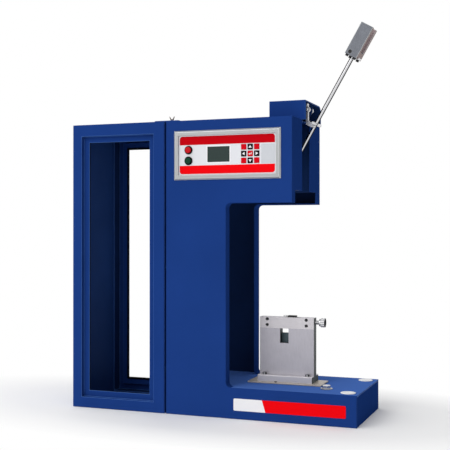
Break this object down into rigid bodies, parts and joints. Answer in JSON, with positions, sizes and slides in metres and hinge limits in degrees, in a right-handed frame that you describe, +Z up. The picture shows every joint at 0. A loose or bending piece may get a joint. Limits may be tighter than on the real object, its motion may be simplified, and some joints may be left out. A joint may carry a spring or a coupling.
{
  "type": "pendulum impact tester",
  "caption": "Pendulum impact tester with a C-shaped sheet-metal frame, swinging hammer, specimen vise, guard box and control panel.",
  "frame": {"origin": "on the floor, straight below the swing axis, at mid-depth of the frame", "axes": "+X to the right, towards the raised hammer, +Y to the back, +Z up"},
  "size_m": [0.7658, 0.2652, 0.9641],
  "materials": {
    "blue_paint": "satin powder coat",
    "white_plastic": "gloss",
    "zinc_steel": "satin",
    "brushed_steel": "ground",
    "bright_steel": "polished",
    "black_steel": "black oxide",
    "aluminium": "fine brushed",
    "chrome": "polished",
    "black_plastic": "satin",
    "red_plastic": "gloss",
    "green_plastic": "gloss",
    "panel_print": "printed film",
    "lcd_glass": "gloss",
    "board_green": "satin"
  },
  "bodies": {
    "frame": {"access_plugs": "white_plastic", "base_top_plate": "blue_paint", "base_tray": "blue_paint", "bearing_housings": "aluminium", "bearing_outer_rings": "bright_steel", "bearing_plates": "blue_paint", "bolts": "zinc_steel", "button_housings": "black_plastic", "control_board": "board_green", "encoder": "black_plastic", "fixed_jaw": "bright_steel", "front_shell": "blue_paint", "guard_front_frame": "blue_paint", "guard_rear_frame": "blue_paint", "guard_skin": "blue_paint", "head_top_plate": "blue_paint", "housing_screws": "black_steel", "joining_plates": "blue_paint", "latch_bracket": "zinc_steel", "latch_pivot_pin": "bright_steel", "lcd_window": "lcd_glass", "name_strip": "panel_print", "panel_bezel": "aluminium", "panel_plate": "panel_print", "power_inlet": "black_plastic", "rear_shell": "blue_paint", "release_housing": "blue_paint", "solenoid_body": "black_steel", "spacers": "zinc_steel", "standoffs": "zinc_steel", "vise_bars": "brushed_steel", "vise_clamp_block": "brushed_steel", "vise_foot": "zinc_steel", "vise_plate": "brushed_steel", "vise_screws": "zinc_steel"},
    "pendulum": {"pendulum_axle": "bright_steel", "pendulum_hub": "aluminium", "pendulum_rod": "chrome", "catch_pin": "bright_steel", "hammer_fork": "aluminium", "hammer_screws": "black_steel", "striker": "bright_steel", "bearing_inner_rings": "bright_steel"},
    "latch": {"latch_lever": "zinc_steel"},
    "plunger": {"solenoid_plunger": "bright_steel"},
    "jaw": {"moving_jaw": "black_steel"},
    "clamp": {"clamp_screw": "zinc_steel", "clamp_knob": "chrome"},
    "red_button": {"red_button": "red_plastic"},
    "green_button": {"green_button": "green_plastic"},
    "rocker": {"switch_rocker": "black_plastic"},
    "key_bottom_left": {"key_bottom_left": "red_plastic"},
    "key_bottom_right": {"key_bottom_right": "red_plastic"},
    "key_down": {"key_down": "black_plastic"},
    "key_enter": {"key_enter": "red_plastic"},
    "key_left": {"key_left": "black_plastic"},
    "key_right": {"key_right": "black_plastic"},
    "key_top_left": {"key_top_left": "red_plastic"},
    "key_top_right": {"key_top_right": "red_plastic"},
    "key_up": {"key_up": "black_plastic"}
  },
  "joints": [
    {"name": "pendulum_swing", "type": "hinge", "parent": "frame", "child": "pendulum", "pos_m": [0, 0, 0.5964], "axis": [0, 1, 0], "range_deg": [0, 300]},
    {"name": "latch_swing", "type": "hinge", "parent": "frame", "child": "latch", "pos_m": [0.0555, 0, 0.7575], "axis": [0, 1, 0], "range_deg": [0, 20], "stiffness_Nm_per_rad": 0.1, "springref_deg": -11.46},
    {"name": "plunger_slide", "type": "slide", "parent": "frame", "child": "plunger", "axis": [1, 0, 0], "range_m": [0, 0.0038]},
    {"name": "jaw_slide", "type": "slide", "parent": "frame", "child": "jaw", "axis": [1, 0, 0], "range_m": [0, 0.012]},
    {"name": "clamp_turn", "type": "hinge", "parent": "jaw", "child": "clamp", "pos_m": [0.05, 0, 0.228], "axis": [1, 0, 0], "range_deg": [-1, 2890]},
    {"name": "switch_rock", "type": "hinge", "parent": "frame", "child": "rocker", "pos_m": [-0.162, 0.1275, 0.038], "axis": [0, 0, 1], "range_deg": [0, 10]},
    {"name": "red_button_press", "type": "slide", "parent": "frame", "child": "red_button", "axis": [0, 1, 0], "range_m": [0, 0.0025], "stiffness_N_per_m": 300},
    {"name": "green_button_press", "type": "slide", "parent": "frame", "child": "green_button", "axis": [0, 1, 0], "range_m": [0, 0.0025], "stiffness_N_per_m": 300},
    {"name": "key_bottom_left_press", "type": "slide", "parent": "frame", "child": "key_bottom_left", "axis": [0, 1, 0], "range_m": [0, 0.0005], "stiffness_N_per_m": 500},
    {"name": "key_bottom_right_press", "type": "slide", "parent": "frame", "child": "key_bottom_right", "axis": [0, 1, 0], "range_m": [0, 0.0005], "stiffness_N_per_m": 500},
    {"name": "key_down_press", "type": "slide", "parent": "frame", "child": "key_down", "axis": [0, 1, 0], "range_m": [0, 0.0005], "stiffness_N_per_m": 500},
    {"name": "key_enter_press", "type": "slide", "parent": "frame", "child": "key_enter", "axis": [0, 1, 0], "range_m": [0, 0.0005], "stiffness_N_per_m": 500},
    {"name": "key_left_press", "type": "slide", "parent": "frame", "child": "key_left", "axis": [0, 1, 0], "range_m": [0, 0.0005], "stiffness_N_per_m": 500},
    {"name": "key_right_press", "type": "slide", "parent": "frame", "child": "key_right", "axis": [0, 1, 0], "range_m": [0, 0.0005], "stiffness_N_per_m": 500},
    {"name": "key_top_left_press", "type": "slide", "parent": "frame", "child": "key_top_left", "axis": [0, 1, 0], "range_m": [0, 0.0005], "stiffness_N_per_m": 500},
    {"name": "key_top_right_press", "type": "slide", "parent": "frame", "child": "key_top_right", "axis": [0, 1, 0], "range_m": [0, 0.0005], "stiffness_N_per_m": 500},
    {"name": "key_up_press", "type": "slide", "parent": "frame", "child": "key_up", "axis": [0, 1, 0], "range_m": [0, 0.0005], "stiffness_N_per_m": 500}
  ],
  "couplings": [
    {"joint": "plunger_slide", "follows": "latch_swing", "m_per_rad": 0.0105},
    {"joint": "clamp_turn", "follows": "jaw_slide", "rad_per_m": 4188.8}
  ]
}
